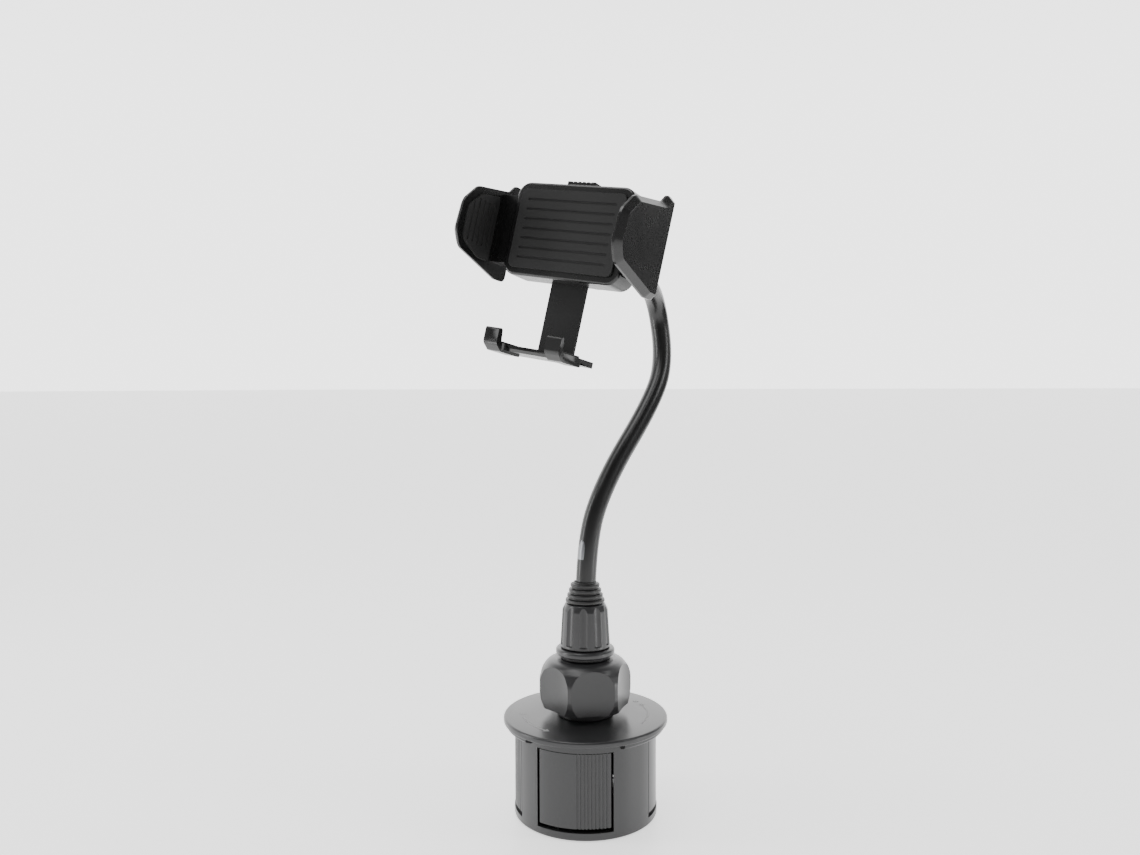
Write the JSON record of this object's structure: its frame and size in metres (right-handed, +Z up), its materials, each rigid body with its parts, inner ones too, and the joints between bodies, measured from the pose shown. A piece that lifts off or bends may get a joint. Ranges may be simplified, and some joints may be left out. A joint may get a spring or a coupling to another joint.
{
  "type": "car phone mount",
  "caption": "Cup-holder phone mount: expanding round base with turning knob, bendable gooseneck and a two-arm spring cradle on a ball joint.",
  "frame": {"origin": "centre of the base's underside, on the surface that it stands on", "axes": "+Z up; the cradle faces -Y, tilted back and rolled a little as set on its ball joint"},
  "size_m": [0.0977, 0.1361, 0.2921],
  "materials": {
    "grey_plastic": "moulded satin",
    "black_plastic": "moulded satin",
    "pad_rubber": "moulded matt",
    "relief_rubber": "moulded satin",
    "neck_sleeve": "smooth extruded",
    "spring_steel": "drawn",
    "screw_steel": "blackened",
    "stud_steel": "turned and plated",
    "white_acetal": "moulded natural"
  },
  "bodies": {
    "base": {"base_barrel": "grey_plastic", "bottom_plate": "grey_plastic", "foot_pad": "pad_rubber", "guide_deck": "grey_plastic", "base_screws": "screw_steel", "deck_screws": "screw_steel", "top_flange": "grey_plastic", "neck_post": "grey_plastic", "post_screw": "screw_steel", "collar_ring": "grey_plastic", "neck_collet": "white_acetal", "strain_relief": "relief_rubber", "neck_sleeve_1": "neck_sleeve", "neck_core_1": "spring_steel"},
    "knob": {"adjust_knob": "grey_plastic", "scroll_cam": "white_acetal", "cam_screws": "screw_steel"},
    "wing_a": {"wing_1": "grey_plastic"},
    "wing_b": {"wing_2": "grey_plastic"},
    "wing_c": {"wing_3": "grey_plastic"},
    "wing_d": {"wing_4": "grey_plastic"},
    "nut": {"neck_nut": "grey_plastic"},
    "neck_low": {"neck_sleeve_2": "neck_sleeve", "neck_core_2": "spring_steel"},
    "neck_middle": {"neck_sleeve_3": "neck_sleeve", "neck_core_3": "spring_steel"},
    "neck_high": {"neck_sleeve_4": "neck_sleeve", "neck_core_4": "spring_steel"},
    "neck_end": {"neck_sleeve_5": "neck_sleeve", "neck_core_5": "spring_steel", "top_ferrule": "black_plastic", "ball_stud": "stud_steel"},
    "liner": {"ball_liner": "white_acetal"},
    "socket": {"socket_housing": "black_plastic"},
    "locknut": {"lock_nut": "black_plastic"},
    "cradle": {"back_cover": "black_plastic", "front_cover": "black_plastic", "front_pad": "pad_rubber", "cover_screws": "screw_steel", "swivel_ring": "black_plastic", "ring_screws": "screw_steel", "pinion_spring": "spring_steel", "button_spring": "spring_steel"},
    "pinion_gear": {"pinion": "white_acetal"},
    "arm_right": {"right_arm": "black_plastic", "right_arm_pad": "pad_rubber"},
    "arm_left": {"left_arm": "black_plastic", "left_arm_pad": "pad_rubber"},
    "button": {"release_button": "black_plastic"},
    "pawl_lever": {"pawl": "white_acetal"},
    "foot": {"foot_bracket": "black_plastic", "foot_pads": "pad_rubber"}
  },
  "joints": [
    {"name": "knob_turn", "type": "hinge", "parent": "base", "child": "knob", "pos_m": [0, 0, 0.06], "axis": [0, 0, -1], "range_deg": [0, 120]},
    {"name": "wing_a_slide", "type": "slide", "parent": "base", "child": "wing_a", "axis": [0.3616, -0.9323, 0], "range_m": [0, 0.008]},
    {"name": "wing_b_slide", "type": "slide", "parent": "base", "child": "wing_b", "axis": [0.8695, 0.4939, 0], "range_m": [0, 0.008]},
    {"name": "wing_c_slide", "type": "slide", "parent": "base", "child": "wing_c", "axis": [-0.3616, 0.9323, 0], "range_m": [0, 0.008]},
    {"name": "wing_d_slide", "type": "slide", "parent": "base", "child": "wing_d", "axis": [-0.8695, -0.4939, 0], "range_m": [0, 0.008]},
    {"name": "neck_nut_turn", "type": "hinge", "parent": "base", "child": "nut", "pos_m": [0, 0, 0.09], "axis": [0, 0, 1], "range_deg": [0, 270]},
    {"name": "bend_1", "type": "hinge", "parent": "base", "child": "neck_low", "pos_m": [0, 0, 0.116], "axis": [1, 0, 0], "range_deg": [-25, 25]},
    {"name": "bend_2", "type": "hinge", "parent": "neck_low", "child": "neck_middle", "pos_m": [0.00725, 0.02825, 0.17323], "axis": [0, 0.7476, -0.6641], "range_deg": [-25, 25]},
    {"name": "bend_3", "type": "hinge", "parent": "neck_middle", "child": "neck_high", "pos_m": [0.00989, 0.06312, 0.22353], "axis": [1, 0, 0], "range_deg": [-25, 25]},
    {"name": "bend_4", "type": "hinge", "parent": "neck_high", "child": "neck_end", "pos_m": [0.0149, 0.0248, 0.25615], "axis": [0, 0.1437, 0.9896], "range_deg": [-25, 25]},
    {"name": "ball_pan", "type": "hinge", "parent": "neck_end", "child": "liner", "pos_m": [0.0149, -0.01201, 0.26149], "axis": [0.1599, 0.1418, 0.9769], "range_deg": [-20, 20]},
    {"name": "ball_tilt", "type": "hinge", "parent": "liner", "child": "socket", "pos_m": [0.0149, -0.01201, 0.26149], "axis": [0.9871, -0.023, -0.1582], "range_deg": [-20, 20]},
    {"name": "lock_nut_turn", "type": "hinge", "parent": "socket", "child": "locknut", "pos_m": [0.0149, -0.01201, 0.26149], "axis": [0, -0.9896, 0.1437], "range_deg": [0, 270]},
    {"name": "cradle_spin", "type": "hinge", "parent": "socket", "child": "cradle", "pos_m": [0.0149, -0.01201, 0.26149], "axis": [0, -0.9896, 0.1437], "continuous": true},
    {"name": "right_arm_slide", "type": "slide", "parent": "cradle", "child": "arm_right", "axis": [0.9871, -0.023, -0.1582], "range_m": [-0.007, 0.009]},
    {"name": "left_arm_slide", "type": "slide", "parent": "cradle", "child": "arm_left", "axis": [-0.9871, 0.023, 0.1582], "range_m": [-0.007, 0.009]},
    {"name": "pinion_turn", "type": "hinge", "parent": "cradle", "child": "pinion_gear", "pos_m": [0.0149, -0.03477, 0.26479], "axis": [0, -0.9896, 0.1437], "range_deg": [-130.35, 130.35]},
    {"name": "button_press", "type": "slide", "parent": "cradle", "child": "button", "axis": [-0.1599, -0.1418, -0.9769], "range_m": [0, 0.0015], "stiffness_N_per_m": 600, "springref_m": -0.001, "deforming": ["button_spring"]},
    {"name": "pawl_lift", "type": "hinge", "parent": "cradle", "child": "pawl_lever", "pos_m": [0.01542, -0.03251, 0.28035], "axis": [0, -0.9896, 0.1437], "range_deg": [-12.5, 0]},
    {"name": "foot_slide", "type": "slide", "parent": "cradle", "child": "foot", "axis": [0.1599, 0.1418, 0.9769], "range_m": [-0.012, 0.008]}
  ],
  "couplings": [
    {"joint": "wing_a_slide", "follows": "knob_turn", "m_per_rad": 0.0038196},
    {"joint": "wing_b_slide", "follows": "knob_turn", "m_per_rad": 0.0038196},
    {"joint": "wing_c_slide", "follows": "knob_turn", "m_per_rad": 0.0038196},
    {"joint": "wing_d_slide", "follows": "knob_turn", "m_per_rad": 0.0038196},
    {"joint": "left_arm_slide", "follows": "right_arm_slide", "ratio": 1},
    {"joint": "pinion_turn", "follows": "right_arm_slide", "rad_per_m": -250},
    {"joint": "pawl_lift", "follows": "button_press", "rad_per_m": -140}
  ]
}
